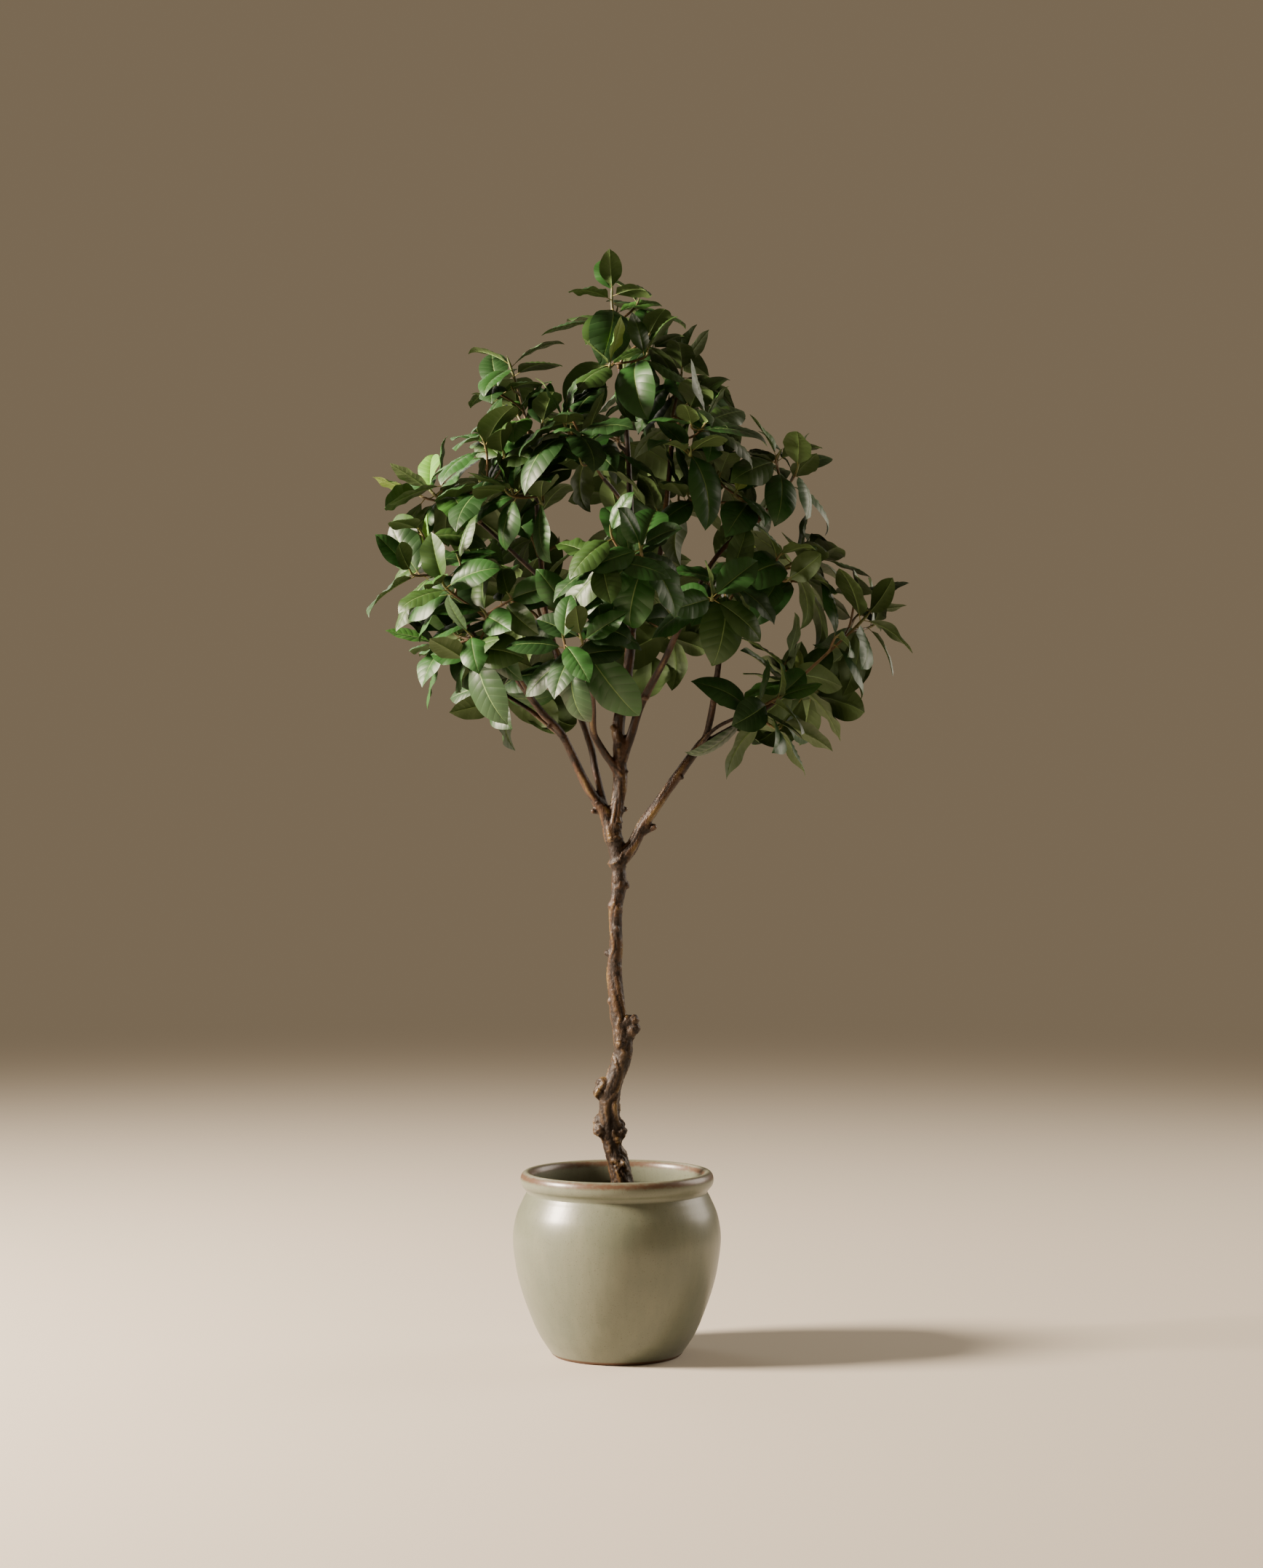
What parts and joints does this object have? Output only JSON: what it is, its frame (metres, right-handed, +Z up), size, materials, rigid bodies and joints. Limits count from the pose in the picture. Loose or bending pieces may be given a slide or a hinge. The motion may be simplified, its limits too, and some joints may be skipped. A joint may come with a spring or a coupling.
{
  "type": "potted ficus",
  "caption": "Broad-leaved ficus trained as a small standard tree, with a knotty trunk, forking boughs and an open crown, in a round glazed pot.",
  "frame": {"origin": "centre of the pot's flat underside", "axes": "+Z up along the height of the tree; -Y towards the front that the picture shows, +X to the right in it"},
  "size_m": [0.8813, 0.7208, 1.8009],
  "materials": {
    "glaze": "satin",
    "soil": "matte",
    "bark": "matte",
    "foliage": "satin"
  },
  "bodies": {
    "root": {"pot": "glaze", "soil": "soil", "trunk": "bark", "right_bough": "bark", "centre_limb": "bark", "left_limb": "bark", "leader": "bark", "leader_top": "bark", "front_right_limb": "bark", "left_bough": "bark", "inner_left": "bark", "cross_limb": "bark", "right_riser": "bark", "right_arm": "bark", "low_right_twig": "bark", "upper_right": "bark", "leader_right": "bark", "front_twig": "bark", "upper_front_twig": "bark", "upper_back_twig": "bark", "back_limb": "bark", "back_right_limb": "bark", "left_bough_outer": "bark", "left_front_limb": "bark", "lower_left": "bark", "left_riser": "bark", "left_high_limb": "bark", "back_left_limb": "bark", "back_high": "foliage", "back_left": "foliage", "back_left_high": "foliage", "back_low": "foliage", "back_middle": "foliage", "back_right": "foliage", "crown_tip": "foliage", "far_right": "foliage", "front_heart": "foliage", "front_skirt": "foliage", "high_front": "foliage", "high_right": "foliage", "left_front": "foliage", "left_heart": "foliage", "left_inner": "foliage", "left_low": "foliage", "left_peak": "foliage", "left_tip": "foliage", "left_wing": "foliage", "low_left": "foliage", "right_front": "foliage", "right_high": "foliage", "right_inner": "foliage", "right_low": "foliage", "right_low_back": "foliage", "right_middle": "foliage", "right_out": "foliage", "right_peak": "foliage", "right_shoulder": "foliage", "upper_front": "foliage", "upper_heart": "foliage", "upper_left": "foliage"}
  },
  "joints": []
}
